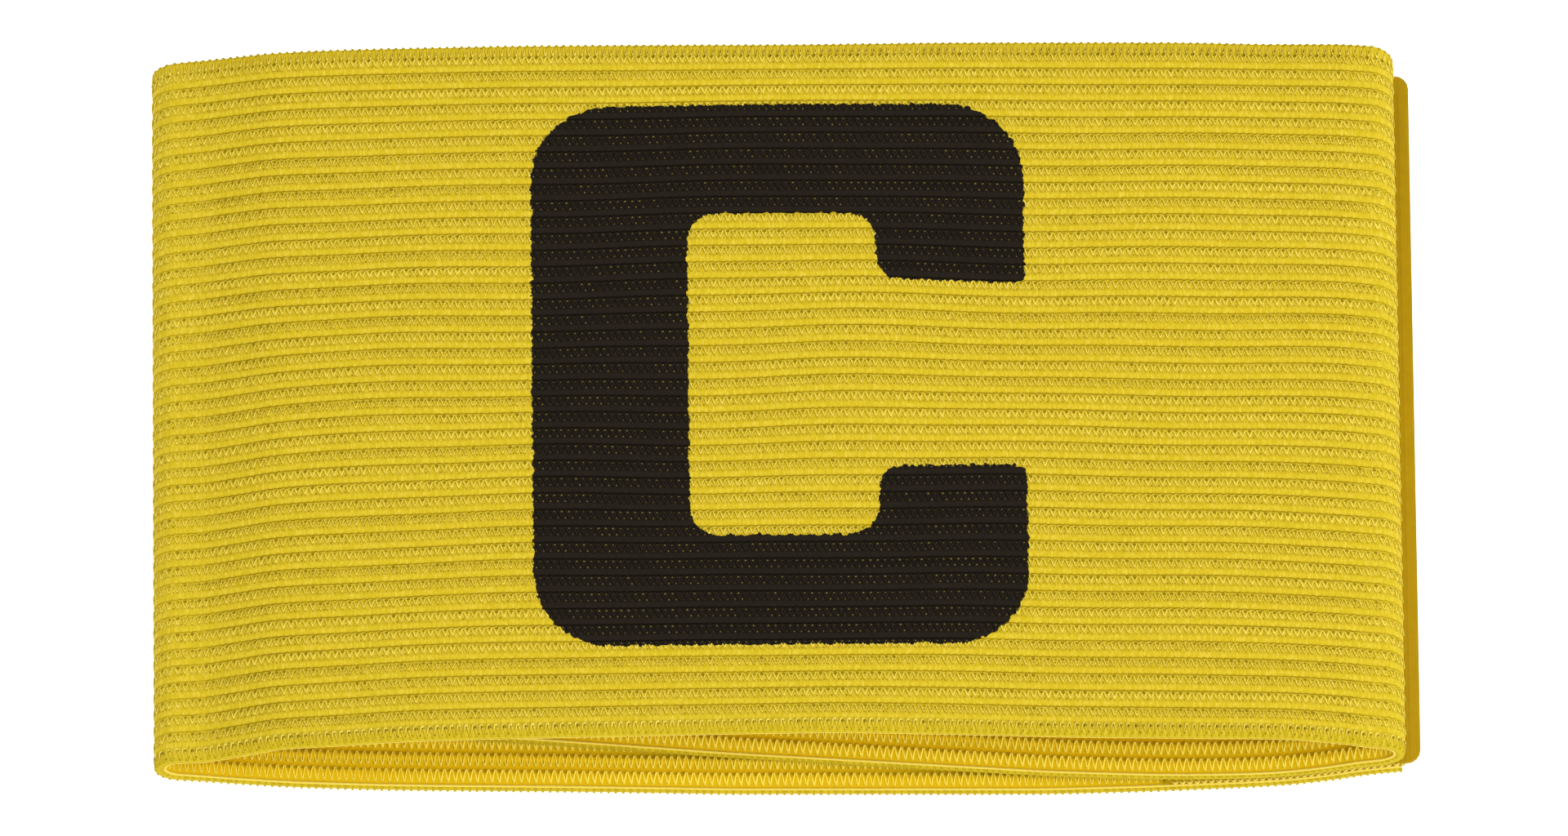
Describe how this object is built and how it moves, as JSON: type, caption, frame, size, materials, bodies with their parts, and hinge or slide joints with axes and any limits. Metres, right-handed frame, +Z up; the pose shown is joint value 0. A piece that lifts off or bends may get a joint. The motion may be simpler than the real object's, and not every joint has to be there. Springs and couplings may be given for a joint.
{
  "type": "captain armband",
  "caption": "Ribbed knitted elastic strap wrapped into a flattened loop, closed by hook tape between its back laps, with a block letter printed on the front.",
  "frame": {"origin": "middle of the loop, on the flat stretch of the underside that it rests on", "axes": "+X along the flattened loop towards the fold with the closure, +Y across the strap towards the top of the letter, +Z up through the printed front"},
  "size_m": [0.1243, 0.0796, 0.0159],
  "materials": {
    "elastic_knit": "matt ribbed knit",
    "hook_tape": "woven nylon with small hooks",
    "print_ink": "matt ink soaked into the knit"
  },
  "bodies": {
    "root": {"elastic_band": "elastic_knit", "hook_tape": "hook_tape", "letter_print": "print_ink"}
  },
  "joints": []
}
